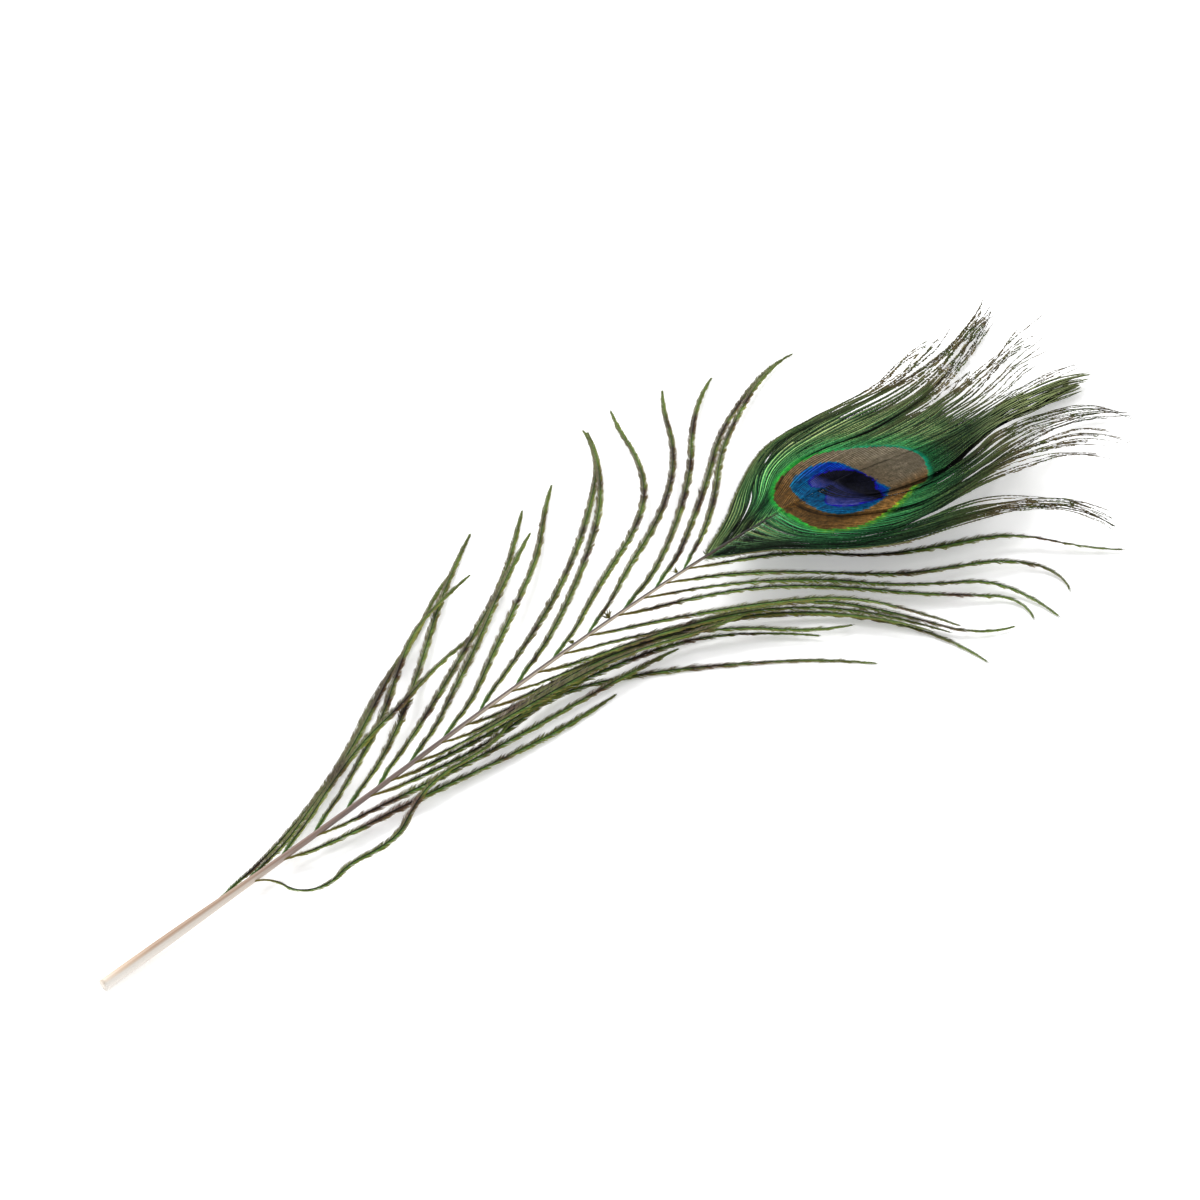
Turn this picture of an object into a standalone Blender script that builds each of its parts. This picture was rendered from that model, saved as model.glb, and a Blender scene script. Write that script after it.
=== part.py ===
"""A peacock's tail feather, lying on a table with its eye up.

The feather is a branching thing: one shaft, loose barbs along both sides of it, and the vane of the eye, which has
parted into locks of barbs. The shaft, each loose barb and each lock is one solid. Barbs are slim tapered tubes that
reach their tips, and locks are thin curved sheets. Tables are in millimetres and degrees.

The feather's own frame has its zero at the cut end of the quill, X along the shaft to the tip, Y to the feather's
left and Z up from the table. At the end everything is moved so that the middle of its footprint is at the origin.
"""

import bmesh
import bpy
import numpy as np
from mathutils import Vector

MM = 0.001

# The shaft: how far its middle bows to the left, how high it is carried, and its radius, each at some stations.
SHAFT_LENGTH = 212
SHAFT_BOW = ((0, 0), (60, 1.2), (110, 2.6), (150, 2.5), (180, 1.2), (200, -0.6), (212, -2.2))
SHAFT_HEIGHT = ((0, 1.38), (50, 3.1), (100, 5.5), (150, 8.4), (200, 11.2), (212, 11.8))
SHAFT_RADIUS = ((0, 1.38), (20, 1.35), (30, 1.1), (42, 0.85), (60, 0.7), (100, 0.55), (140, 0.45), (212, 0.22))
SHAFT_POINTS = 30

# Loose barbs: radius at root and tip, the gap that keeps a barb's solid off the shaft, and how a barb comes down
# from the shaft to its tip.
BARB_ROOT_RADIUS = 0.35
BARB_TIP_RADIUS = 0.25
ROOT_GAP = 0.3
DROOP_POWER = 1.2
PATH_STEPS = 240

# Each loose barb: station on the shaft, length, height of the tip, lift at its middle, and its headings away from
# the X axis at evenly spaced places from root to tip. A heading is positive away from the shaft.
LEFT_BARBS = (
    (29, 122, 0.3, 0.0, (4, 17, 23, 31, 23, 31, 19)),
    (37, 83, 1.9, 0.6, (3, 21, 23, 29, 30, 22)),
    (46, 87, 1.2, 2.1, (11, 24, 21, 13, 19, 13, 10)),
    (55, 93, 2.2, 0.4, (17, 26, 29, 36, 33, 16, 10)),
    (64, 102, 0.3, 0.0, (16, 29, 35, 37, 33, 30)),
    (73, 106, 0.3, 0.0, (19, 25, 27, 27, 36, 38)),
    (82, 88, 1.6, 0.8, (13, 29, 29, 32, 30, 28)),
    (92, 101, 0.3, 0.0, (13, 31, 30, 31, 41, 35)),
    (103, 117, 0.3, 0.0, (20, 23, 28, 34, 39, 65)),
    (114, 105, 1.6, 0.0, (16, 27, 31, 36, 47, 58)),
    (125, 110, 0.3, 0.0, (11, 28, 25, 24, 35, 51, 63, 54)),
    (136, 110, 0.3, 0.0, (15, 28, 24, 31, 41, 52, 43)),
    (147, 108, 0.3, 0.0, (10, 26, 32, 36, 42, 35, 24)),
    (157, 116, 0.3, 0.0, (14, 30, 32, 35, 25, 20, 1)),
    (166, 100, 1.6, 0.8, (19, 32, 39, 29, 26, 13)),
)
RIGHT_BARBS = (
    (38, 76, 4.6, 0.0, (21, 87, 25, -16, 11, 0, -27, -24, -12, 4, 6, -10, -24)),
    (46, 87, 0.3, 0.0, (14, 5, 9, 5, -3)),
    (55, 97, 2.2, 0.0, (7, 8, 5, 3, 9)),
    (70, 125, 0.3, -1.4, (9, 6, -9, 25, 36, 41, 56)),
    (76, 110, 1.0, 0.0, (8, 5, 0, 8, 16, 39, 52)),
    (83, 86, 6.0, 1.5, (14, 6, 6, 20, 11)),
    (91, 103, 1.5, 2.0, (18, 2, 4, 14, 31, 45, 22)),
    (98, 61, 3.5, -0.8, (9, 4, 12, 31)),
    (105, 125, 0.3, -1.0, (12, 2, 13, 27, 46, 67, 97)),
    (112, 101, 3.0, -0.3, (14, 10, 16, 22, 40, 54, 73)),
    (120, 98, 1.4, 1.2, (21, 15, 18, 25, 41, 57, 67)),
    (128, 107, 0.6, 0.0, (16, 24, 17, 31, 59, 67, 15)),
    (136, 86, 3.4, 1.0, (22, 28, 29, 34, 62, 71)),
    (145, 100, 0.3, 0.0, (18, 20, 25, 35, 44, 49, 42, 42, 136)),
    (153, 99, 0.3, 0.0, (18, 27, 32, 39, 48, 38, 31, 78, 100)),
    (160, 99, 0.3, 0.0, (19, 31, 38, 43, 40, 24, 26, 57, 135)),
    (167, 105, 0.6, 0.0, (21, 27, 47, 25, 21, 60, 41)),
)

# The vane of the eye is a shallow dome, a little higher on its right, that falls to the table at the fringe.
EYE_CENTRE = (215, -6)
FRINGE_HEIGHT = 2.0
EYE_RISE = 10.2
EYE_TILT = 0.14
DOME_RADIUS = 58
DOME_CROSS_SCALE = 1.25
LOCK_THICKNESS = 0.8
LOCK_EDGE_GAP = 0.35
LOCK_LEAST_HALF_WIDTH = 0.35
LOCK_POINTS = 15
LOCK_COLUMNS = 3

# Each lock of the vane lies between two barbs, given by side, station, length and headings. Its lift grows along it.
LEFT, RIGHT = 1, -1
EYE_LOCKS = (
    ("lock_left_1", 0.0, (LEFT, 173, 121, (17, 31, 25, -1, -3, 19, -16)),
     (LEFT, 177, 122, (10, 35, 19, -9, 3, 16, 17))),
    ("lock_left_2", 0.0, (LEFT, 178, 140, (10, 37, 1, -1, 6, 16, 23)),
     (LEFT, 184, 131, (12, 32, -9, 0, 14, 16, 12))),
    ("lock_left_3", -1.4, (LEFT, 186, 127, (12, 26, -17, 7, 14, 18, 21)),
     (LEFT, 191, 95, (12, 22, -9, -7, 8, 11, 17))),
    ("lock_left_4", 0.0, (LEFT, 193, 126, (20, 2, -9, 13, 10, 13, -1)),
     (LEFT, 196, 119, (20, -2, -10, 12, 12, 12, -25))),
    ("lock_left_5", 0.0, (LEFT, 199, 111, (13, -5, -10, 9, 11, 13, -3)),
     (LEFT, 203, 103, (6, -10, -8, 7, 12, 11, -17))),
    ("lock_left_6", 0.0, (LEFT, 205, 100, (0, -14, -7, 6, 10, -2, -19)),
     (LEFT, 208, 98, (-11, -16, -7, 8, 11, -1, -18))),
    ("lock_tip", 0.0, (RIGHT, 213, 94, (0, 20, 2, -8, -10, 5, 42)),
     (RIGHT, 213, 92, (112, 15, 6, -16, -8, -4, 5))),
    ("lock_right_3", 0.0, (RIGHT, 205, 106, (71, 33, 1, -12, -7, 15, 102)),
     (RIGHT, 201, 111, (90, 41, 1, -7, -10, 8, 50))),
    ("lock_right_2", 0.0, (RIGHT, 199, 108, (96, 42, 5, -4, -4, 7, 101)),
     (RIGHT, 196, 101, (105, 58, 11, -6, 1, 6, 44))),
    ("lock_right_1", 0.0, (RIGHT, 191, 91, (100, 63, 23, 15, 20, 28, 85)),
     (RIGHT, 172, 103, (17, 60, 45, 17, 14, 28, 100))),
)

# Colour, roughness and metallic value of each kind of piece.
SHAFT_FINISH = ((0.42, 0.30, 0.24), 0.45, 0.0)
BARB_FINISH = ((0.10, 0.16, 0.04), 0.5, 0.3)
LOCK_FINISH = ((0.02, 0.22, 0.08), 0.4, 0.5)


def along(keys, s):
    """The smooth curve through keys of (station, value), read at s: a cubic between two keys, whose slope at a key
    is that of the straight line between the keys on either side."""
    k = np.array(keys, float)
    slope = np.gradient(k[:, 1], k[:, 0])
    s = np.clip(np.asarray(s, float), k[0, 0], k[-1, 0])
    i = np.clip(np.searchsorted(k[:, 0], s, side="right") - 1, 0, len(k) - 2)
    step = k[i + 1, 0] - k[i, 0]
    t = (s - k[i, 0]) / step
    near = (2 * t**3 - 3 * t**2 + 1) * k[i, 1] + (t**3 - 2 * t**2 + t) * step * slope[i]
    far = (3 * t**2 - 2 * t**3) * k[i + 1, 1] + (t**3 - t**2) * step * slope[i + 1]
    return near + far


def barb_plan(side, station, length, headings, t):
    """Where a barb runs, seen from above, at fractions t of its length: its heading goes evenly from each stated
    value to the next, and its place is the sum of its steps in those directions."""
    steps = np.linspace(0, 1, PATH_STEPS + 1)
    heading = side * np.radians(np.interp(steps, np.linspace(0, 1, len(headings)), headings))
    middle = (heading[1:] + heading[:-1]) / 2
    x = np.concatenate(([0], np.cumsum(np.cos(middle)))) * length / PATH_STEPS
    y = np.concatenate(([0], np.cumsum(np.sin(middle)))) * length / PATH_STEPS
    root = along(SHAFT_RADIUS, station) + ROOT_GAP + BARB_ROOT_RADIUS
    return (
        station + np.interp(t, steps, x),
        along(SHAFT_BOW, station) + side * root + np.interp(t, steps, y),
    )


def barb_path(side, station, length, tip_height, lift, headings):
    """Points in millimetres down the middle of a loose barb, two to each stated heading. It leaves the shaft at the
    shaft's height and comes down to its tip as a power of the distance, with a sine bump for its lift."""
    t = np.linspace(0, 1, 2 * len(headings) - 1)
    x, y = barb_plan(side, station, length, headings, t)
    start = along(SHAFT_HEIGHT, station)
    z = start + (tip_height - start) * t**DROOP_POWER + lift * np.sin(np.pi * t)
    return np.stack((x, y, z), axis=1)


def dome_height(x, y):
    """Height of the vane over the table at a place: it falls from the eye's centre as the exponential of minus the
    cube of the distance, and leans so that its right side is higher."""
    across = y - EYE_CENTRE[1]
    distance = np.hypot(x - EYE_CENTRE[0], DOME_CROSS_SCALE * across)
    return FRINGE_HEIGHT + (EYE_RISE - EYE_TILT * across) * np.exp(-((distance / DOME_RADIUS) ** 3))


def lock_points(lift, first, last):
    """Points in millimetres of a lock's middle sheet, as rows from root to tip and columns across. A row runs from
    one of the lock's two outer barbs to the other; its ends are drawn in, at right angles to the line midway."""
    t = np.linspace(0, 1, LOCK_POINTS)
    ax, ay = barb_plan(*first, t)
    bx, by = barb_plan(*last, t)
    mx, my = (ax + bx) / 2, (ay + by) / 2
    dx, dy = np.gradient(mx), np.gradient(my)
    size = np.hypot(dx, dy)
    dx, dy = dx / size, dy / size
    forward = ((ax - bx) * dx + (ay - by) * dy) / 2
    half = ((ay - by) * dx - (ax - bx) * dy) / 2
    half = np.maximum(half - LOCK_EDGE_GAP, LOCK_LEAST_HALF_WIDTH)
    across = np.linspace(-1, 1, LOCK_COLUMNS + 1)
    x = mx[:, None] + (forward * dx - half * dy)[:, None] * across
    y = my[:, None] + (forward * dy + half * dx)[:, None] * across
    ease = np.clip(6 * t, 0, 1)
    ease = (ease * ease * (3 - 2 * ease))[:, None]
    stations = first[1] + (last[1] - first[1]) * (1 - across) / 2
    z = along(SHAFT_HEIGHT, stations) * (1 - ease) + dome_height(x, y) * ease + lift * t[:, None]
    return np.stack((x, y, z), axis=2)


def finish(name, colour, roughness, metallic):
    """A Principled material of one colour."""
    material = bpy.data.materials.new(name)
    material.use_nodes = True
    shader = material.node_tree.nodes["Principled BSDF"]
    shader.inputs["Base Color"].default_value = (*colour, 1.0)
    shader.inputs["Roughness"].default_value = roughness
    shader.inputs["Metallic"].default_value = metallic
    return material


def put(name, data, collection, parent, look):
    """Makes an object of some data, in the feather's collection, hung on its empty, with a material of its own."""
    piece = bpy.data.objects.new(name, data)
    collection.objects.link(piece)
    piece.parent = parent
    data.materials.append(finish(name, *look))
    return piece


def tube(name, points, radii, sides, collection, parent, look):
    """A tapered tube down a line of points in millimetres, as a bevelled curve with closed ends."""
    curve = bpy.data.curves.new(name, "CURVE")
    curve.dimensions = "3D"
    curve.bevel_depth = MM
    curve.bevel_resolution = sides // 2 - 2
    curve.use_fill_caps = True
    spline = curve.splines.new("POLY")
    spline.points.add(len(points) - 1)
    for knot, place, radius in zip(spline.points, points, radii):
        knot.co = (*(place * MM), 1.0)
        knot.radius = radius
    return put(name, curve, collection, parent, look)


def sheet(name, points, collection, parent, look):
    """A thin closed sheet over rows and columns of points in millimetres: a grid laid on them, then Solidify."""
    rows, columns = points.shape[:2]
    mesh = bpy.data.meshes.new(name)
    grid = bmesh.new()
    bmesh.ops.create_grid(grid, x_segments=columns - 1, y_segments=rows - 1, size=1.0)
    for vertex in grid.verts:
        column = round((vertex.co.x + 1) / 2 * (columns - 1))
        row = round((vertex.co.y + 1) / 2 * (rows - 1))
        vertex.co = Vector(points[row, column] * MM)
    bmesh.ops.recalc_face_normals(grid, faces=grid.faces)
    grid.to_mesh(mesh)
    grid.free()
    mesh.shade_smooth()
    piece = put(name, mesh, collection, parent, look)
    solid = piece.modifiers.new("thickness", "SOLIDIFY")
    solid.thickness = LOCK_THICKNESS * MM
    solid.offset = 0.0
    return piece


def footprint_middle(pieces):
    """The middle of the box round all pieces, at its bottom, in world metres."""
    bpy.context.view_layer.update()
    graph = bpy.context.evaluated_depsgraph_get()
    corners = []
    for piece in pieces:
        shape = piece.evaluated_get(graph)
        mesh = shape.to_mesh()
        corners += [shape.matrix_world @ vertex.co for vertex in mesh.vertices]
        shape.to_mesh_clear()
    low = Vector([min(c[i] for c in corners) for i in range(3)])
    high = Vector([max(c[i] for c in corners) for i in range(3)])
    return Vector(((low.x + high.x) / 2, (low.y + high.y) / 2, low.z))


def build():
    for old in list(bpy.data.objects):
        bpy.data.objects.remove(old, do_unlink=True)
    collection = bpy.data.collections.new("peacock_feather")
    bpy.context.scene.collection.children.link(collection)
    rest = bpy.data.objects.new("feather_frame", None)
    collection.objects.link(rest)

    stations = np.linspace(0, SHAFT_LENGTH, SHAFT_POINTS)
    middle = np.stack((stations, along(SHAFT_BOW, stations), along(SHAFT_HEIGHT, stations)), axis=1)
    pieces = [tube("shaft", middle, along(SHAFT_RADIUS, stations), 12, collection, rest, SHAFT_FINISH)]

    for side, word, barbs in ((LEFT, "left", LEFT_BARBS), (RIGHT, "right", RIGHT_BARBS)):
        for number, row in enumerate(barbs, 1):
            path = barb_path(side, *row)
            radii = np.linspace(BARB_ROOT_RADIUS, BARB_TIP_RADIUS, len(path))
            name = f"barb_{word}_{number:02d}"
            pieces.append(tube(name, path, radii, 6, collection, rest, BARB_FINISH))

    for name, lift, first, last in EYE_LOCKS:
        pieces.append(sheet(name, lock_points(lift, first, last), collection, rest, LOCK_FINISH))

    rest.location = -footprint_middle(pieces)


build()
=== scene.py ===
"""The looks of a peacock's tail feather that lies on a pale table with its eye up.

The file goes along the feather as it grew: the shaft, the loose barbs on its two sides, the vane of the
eye, and the wisps of down. Tables are in millimetres and degrees in the feather's own frame: zero at the
cut end of the quill on the table, X along the shaft to the fringe, Y to the feather's left, Z up.
"""

from types import SimpleNamespace

import bpy
import numpy as np
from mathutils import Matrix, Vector


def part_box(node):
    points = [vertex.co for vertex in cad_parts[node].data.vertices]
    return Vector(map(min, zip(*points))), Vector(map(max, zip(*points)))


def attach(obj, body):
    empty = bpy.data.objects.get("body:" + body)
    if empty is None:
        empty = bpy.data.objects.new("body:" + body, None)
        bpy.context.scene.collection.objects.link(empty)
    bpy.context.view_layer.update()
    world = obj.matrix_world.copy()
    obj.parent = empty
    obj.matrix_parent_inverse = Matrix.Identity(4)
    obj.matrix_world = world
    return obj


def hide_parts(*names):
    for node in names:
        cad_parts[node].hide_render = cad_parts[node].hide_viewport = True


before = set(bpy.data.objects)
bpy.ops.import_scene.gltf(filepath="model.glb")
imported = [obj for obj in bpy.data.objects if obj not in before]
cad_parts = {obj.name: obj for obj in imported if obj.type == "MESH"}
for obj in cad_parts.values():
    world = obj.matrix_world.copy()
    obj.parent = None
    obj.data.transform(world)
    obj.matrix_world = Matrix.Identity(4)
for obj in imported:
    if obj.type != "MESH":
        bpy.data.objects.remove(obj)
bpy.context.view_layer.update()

# ----------------------------------------------------------------------------------------------------------
# The shaft is one growth of keratin: the bare quill, cut square at its end, and the rachis that thins out
# into the eye. It is cream-white at the cut, tan above that, and grey-brown with a pale belly further on.
# ----------------------------------------------------------------------------------------------------------
MM = 0.001
SHAFT_LENGTH = 212
# Keys of a station along the shaft and how far it bows to the left, how high it lies, and its radius.
SHAFT_BOW = ((0, 0), (60, 1.2), (110, 2.6), (150, 2.5), (180, 1.2), (200, -0.6), (212, -2.2))
SHAFT_HEIGHT = ((0, 1.2), (50, 3.05), (100, 5.5), (150, 8.4), (200, 11.2), (212, 11.8))
SHAFT_RADIUS = ((0, 1.2), (20, 1.12), (30, 0.93), (42, 0.75), (60, 0.62), (100, 0.5), (140, 0.42),
                (170, 0.35), (212, 0.14))
SHAFT_ROWS = 320
SHAFT_SIDES = 24
# In the eye the shaft dips by this much under the barbs that close over it, from one station to the other.
EYE_COVER = 0.3
COVER_START, COVER_FULL = 180, 200
# The brown back faces this many degrees round from the left. The belly's share is one number less another
# times the cosine of the angle from there.
BACK_SIDE = 62
BELLY_SHARE, BELLY_SLOPE = 1.9, 3
# The shaft's box starts at the cut end in X and at the table in Z, and this far from the cut end in Y.
SHAFT_LEAST_Y = -2.42
CUT_END = np.array(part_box("shaft")[0]) / MM - (0, SHAFT_LEAST_Y, 0)
UV_MARGIN = 0.004


def along(keys, s):
    """The smooth curve through keys of (station, value), read at s: a cubic between two keys, whose slope
    at a key is that of the straight line between the keys on either side."""
    k = np.array(keys, float)
    slope = np.gradient(k[:, 1], k[:, 0])
    s = np.clip(np.asarray(s, float), k[0, 0], k[-1, 0])
    i = np.clip(np.searchsorted(k[:, 0], s, side="right") - 1, 0, len(k) - 2)
    step = k[i + 1, 0] - k[i, 0]
    t = (s - k[i, 0]) / step
    near = (2 * t**3 - 3 * t**2 + 1) * k[i, 1] + (t**3 - 2 * t**2 + t) * step * slope[i]
    far = (3 * t**2 - 2 * t**3) * k[i + 1, 1] + (t**3 - t**2) * step * slope[i + 1]
    return near + far


def turned(path):
    """Along a path's points: the unit direction of travel, the level direction to its left, and the upright
    that is their cross product."""
    ahead = np.gradient(path, axis=0)
    ahead = ahead / np.linalg.norm(ahead, axis=1, keepdims=True)
    left = np.stack((-ahead[:, 1], ahead[:, 0], np.zeros(len(path))), axis=1)
    left = left / np.linalg.norm(left, axis=1, keepdims=True)
    return ahead, left, np.cross(ahead, left)


def tube(path, radii, sides, strip, values):
    """A round tube down a path: at each point a ring whose place is the point plus its radius times cosine
    on the left and sine on the upright. Both ends are closed flat by bands of four corners across the ring.
    Its texture strip runs along u, and round it along v."""
    rows = len(path)
    ahead, left, up = turned(path)
    angle = np.arange(sides) * 2 * np.pi / sides
    ring = left[:, None] * np.cos(angle)[:, None] + up[:, None] * np.sin(angle)[:, None]
    points = path[:, None] + ring * radii[:, None, None]
    row, side = np.meshgrid(np.arange(rows - 1), np.arange(sides), indexing="ij")
    corner_row = np.stack((row, row + 1, row + 1, row), axis=-1).reshape(-1, 4)
    corner_side = np.stack((side, side, side + 1, side + 1), axis=-1).reshape(-1, 4)
    faces = corner_row * sides + corner_side % sides
    low, high = strip
    uv = np.stack((corner_row / (rows - 1), low + (high - low) * corner_side / sides), axis=-1)
    rib = np.arange(sides // 2 - 1)
    cap = np.stack((rib, rib + 1, sides - 2 - rib, sides - 1 - rib), axis=-1)
    ends = np.concatenate((cap, cap[:, ::-1] + (rows - 1) * sides))
    end_uv = np.full((len(ends), 4, 2), (low + high) / 2)
    end_uv[:, :, 0] = np.where(ends < sides, 0.005, 0.995)
    return (points.reshape(-1, 3), np.concatenate((faces, ends)), np.concatenate((uv, end_uv)),
            np.repeat(values, sides, axis=0))


def put(name, patches, columns, material, slot, *nodes):
    """Joins patches of (points, faces of four corners, texture places of the corners, values of the points)
    into one piece. The points move from the feather's frame in millimetres to the model's in metres, and
    each column of values becomes a named number on the points."""
    counts = np.cumsum([0] + [len(p[0]) for p in patches])
    points = (np.concatenate([p[0] for p in patches]) + CUT_END) * MM
    faces = np.concatenate([p[1] + start for p, start in zip(patches, counts)])
    uv = np.concatenate([p[2] for p in patches])
    values = np.concatenate([p[3] for p in patches])
    mesh = bpy.data.meshes.new(name)
    mesh.vertices.add(len(points))
    mesh.vertices.foreach_set("co", points.ravel())
    mesh.loops.add(faces.size)
    mesh.loops.foreach_set("vertex_index", faces.ravel().astype(np.int32))
    mesh.polygons.add(len(faces))
    mesh.polygons.foreach_set("loop_start", np.arange(0, faces.size, 4, dtype=np.int32))
    mesh.update(calc_edges=True)
    uv = UV_MARGIN + (1 - 2 * UV_MARGIN) * uv
    mesh.uv_layers.new(name="OFBake").data.foreach_set("uv", uv.ravel())
    for i, column in enumerate(columns):
        mesh.attributes.new(column, "FLOAT", "POINT").data.foreach_set("value", values[:, i].copy())
    mesh.shade_smooth()
    mesh.materials.append(material)
    piece = bpy.data.objects.new(name, mesh)
    bpy.context.scene.collection.objects.link(piece)
    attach(piece, "root")
    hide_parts(*nodes)


def linear(code):
    """A colour from its sRGB hex code, with each channel turned to linear light."""
    channels = [int(code[i:i + 2], 16) / 255 for i in (1, 3, 5)]
    return (*[c / 12.92 if c <= 0.04045 else ((c + 0.055) / 1.055) ** 2.4 for c in channels], 1.0)


def add(material, kind, settings=(), out=0, stops=(), **links):
    """Adds a node and gives its output of a number or name. Settings go to the node's own properties, or to
    its inputs where a key is an input's number or name. Stops are a colour ramp's (place, hex code). Links
    join inputs, by name or as in_0, in_1 by number, to earlier outputs, or set them to a colour's hex
    code."""
    node = material.node_tree.nodes.new(kind)
    for key, value in dict(settings).items():
        if isinstance(key, str) and hasattr(node, key):
            setattr(node, key, value)
        else:
            node.inputs[key].default_value = value
    if stops:
        bands = node.color_ramp.elements
        for band, (place, code) in zip(bands, (stops[0], stops[-1])):
            band.position, band.color = place, linear(code)
        for place, code in stops[1:-1]:
            bands.new(place).color = linear(code)
    for key, value in links.items():
        target = node.inputs[int(key[3:]) if key.startswith("in_") else key.replace("_", " ")]
        if isinstance(value, str):
            target.default_value = linear(value)
        else:
            material.node_tree.links.new(target, value)
    return node.outputs[out]


def blank(name, roughness, **settings):
    """A new material with its Principled shader, and values that are the same all over set on the
    shader."""
    material = bpy.data.materials.new(name)
    material.use_nodes = True
    shader = material.node_tree.nodes["Principled BSDF"]
    shader.inputs["Roughness"].default_value = roughness
    for key, value in settings.items():
        shader.inputs[key.replace("_", " ")].default_value = value
    return material, shader


# Quill keratin, like a thick fingernail: satin, chalky and pale at the cut, and browner the further it grew
# from the skin. Its back is darker than its belly, and inside the eye it takes the colour of the bands
# round it.
QUILL_BACK = ((0.0, "#e0d2c2"), (0.02, "#cdb49c"), (0.06, "#a98c74"), (0.16, "#9a7f6a"), (0.22, "#80665a"),
              (0.4, "#584844"), (0.7, "#463a38"), (0.8, "#241c18"), (0.9, "#14120c"), (0.915, "#4a3820"),
              (0.945, "#3c3420"), (0.955, "#0c3c68"), (0.985, "#141434"), (1.0, "#0c0c14"))
QUILL_BELLY = ((0.0, "#e8e2da"), (0.08, "#dcd4ca"), (0.17, "#cfc2b5"), (0.23, "#98857a"), (0.3, "#766660"),
               (0.42, "#8c7c70"), (0.52, "#d0c0ac"), (0.77, "#ccbca6"), (0.82, "#5a4a40"), (0.9, "#14120c"),
               (1.0, "#0c0c14"))
quill_keratin, shader = blank("quill_keratin", 0.42)
reach = add(quill_keratin, "ShaderNodeAttribute", {"attribute_name": "reach"}, out="Fac")
around = add(quill_keratin, "ShaderNodeAttribute", {"attribute_name": "cross"}, out="Fac")
back = add(quill_keratin, "ShaderNodeValToRGB", stops=QUILL_BACK, in_0=reach)
belly = add(quill_keratin, "ShaderNodeValToRGB", stops=QUILL_BELLY, in_0=reach)
colour = add(quill_keratin, "ShaderNodeMix", {"data_type": "RGBA"}, out=2, in_0=around, in_6=back, in_7=belly)
quill_keratin.node_tree.links.new(shader.inputs["Base Color"], colour)

stations = np.linspace(0, SHAFT_LENGTH, SHAFT_ROWS)
shaft_path = np.stack((stations, along(SHAFT_BOW, stations), along(SHAFT_HEIGHT, stations)), axis=1)
shaft_path[:, 2] -= EYE_COVER * np.clip((stations - COVER_START) / (COVER_FULL - COVER_START), 0, 1)
shaft_values = np.stack((stations / SHAFT_LENGTH, np.zeros(SHAFT_ROWS)), axis=1)
shaft = tube(shaft_path, along(SHAFT_RADIUS, stations), SHAFT_SIDES, (0, 1), shaft_values)
from_back = np.arange(SHAFT_SIDES) * 2 * np.pi / SHAFT_SIDES - np.radians(BACK_SIDE)
belly_share = np.clip(BELLY_SHARE - BELLY_SLOPE * np.cos(from_back), 0, 1)
shaft[3][:, 1] = np.tile(belly_share, SHAFT_ROWS)
put("quill_and_rachis", [shaft], ("reach", "cross"), quill_keratin, "shaft", "shaft")

# ----------------------------------------------------------------------------------------------------------
# The loose barbs grow out of both sides of the shaft. Each has a thin stiff ramus and, on both sides of it,
# a row of flat barbules that lean towards its tip, cling together in tufts, and shorten to a bare end.
# ----------------------------------------------------------------------------------------------------------
LEFT, RIGHT = 1, -1
DROOP_POWER = 1.2
PATH_STEPS = 240
ROOT_GAP = 0.3
BARB_ROOT_RADIUS = 0.35
ROOT_EASE = 6
# Each barb: its station on the shaft, its length, the height of its tip, how far it is lifted between root
# and tip, its fullness, and its headings away from the shaft at places evenly spaced along it.
LEFT_BARBS = (
    (29, 122, 0.3, 0.0, 0.85, (4, 17, 23, 31, 23, 31, 19)),
    (37, 83, 1.9, 0.6, 0.85, (3, 21, 23, 29, 30, 22)),
    (46, 87, 1.2, 2.1, 0.9, (11, 24, 21, 13, 19, 13, 10)),
    (55, 93, 2.2, 0.4, 0.9, (17, 26, 29, 36, 33, 16, 10)),
    (64, 102, 0.3, 0.0, 0.95, (16, 29, 35, 37, 33, 30)),
    (73, 106, 0.3, 0.0, 0.95, (19, 25, 27, 27, 36, 38)),
    (82, 88, 1.6, 0.8, 0.95, (13, 29, 29, 32, 30, 28)),
    (92, 101, 0.3, 0.0, 0.95, (13, 31, 30, 31, 41, 35)),
    (103, 117, 0.3, 0.0, 0.95, (20, 23, 28, 34, 39, 65)),
    (114, 105, 1.6, 0.0, 0.95, (16, 27, 31, 36, 47, 58)),
    (125, 110, 0.3, 0.0, 0.95, (11, 28, 25, 24, 35, 51, 63, 54)),
    (136, 110, 0.3, 0.0, 0.95, (15, 28, 24, 31, 41, 52, 43)),
    (147, 108, 0.3, 0.0, 0.95, (10, 26, 32, 36, 42, 35, 24)),
    (157, 116, 0.3, 0.0, 0.95, (14, 30, 32, 35, 25, 20, 1)),
    (166, 100, 1.6, 0.8, 0.95, (19, 32, 39, 29, 26, 13)),
)
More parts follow.
